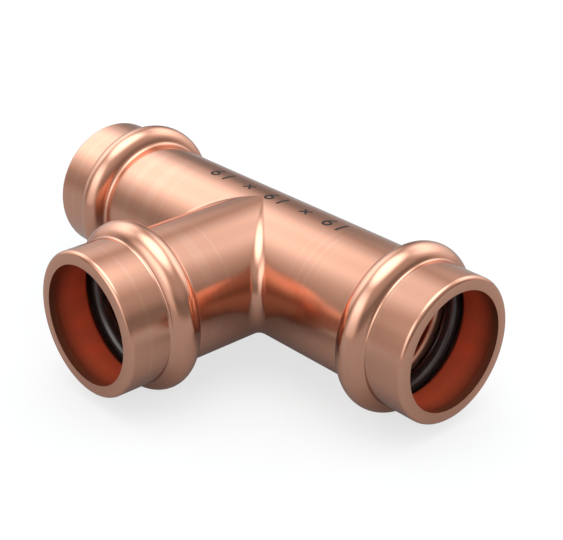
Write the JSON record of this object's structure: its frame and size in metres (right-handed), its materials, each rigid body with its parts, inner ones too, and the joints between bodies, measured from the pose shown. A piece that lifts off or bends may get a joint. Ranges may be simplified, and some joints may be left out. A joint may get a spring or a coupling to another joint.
{
  "type": "pipe tee",
  "caption": "Copper pipe tee with a straight run and a square side branch. Each end has a plain guide, a rolled bead with a rubber ring inside, and a bored socket with a tube stop.",
  "frame": {"origin": "crossing of the run's axis and the branch's axis, the point that a pipe fitter sets the tee out from", "axes": "+X along the run, -Y out of the branch, +Z square to both; the tee lies with its beads on the plane z = -13.64 mm"},
  "size_m": [0.0838, 0.0493, 0.0272],
  "materials": {
    "copper": "polished copper with faint turned lines",
    "seal_rubber": "smooth black rubber"
  },
  "bodies": {
    "root": {"tee_body": "copper", "run_seal_right": "seal_rubber", "run_seal_left": "seal_rubber", "branch_seal": "seal_rubber"}
  },
  "joints": []
}
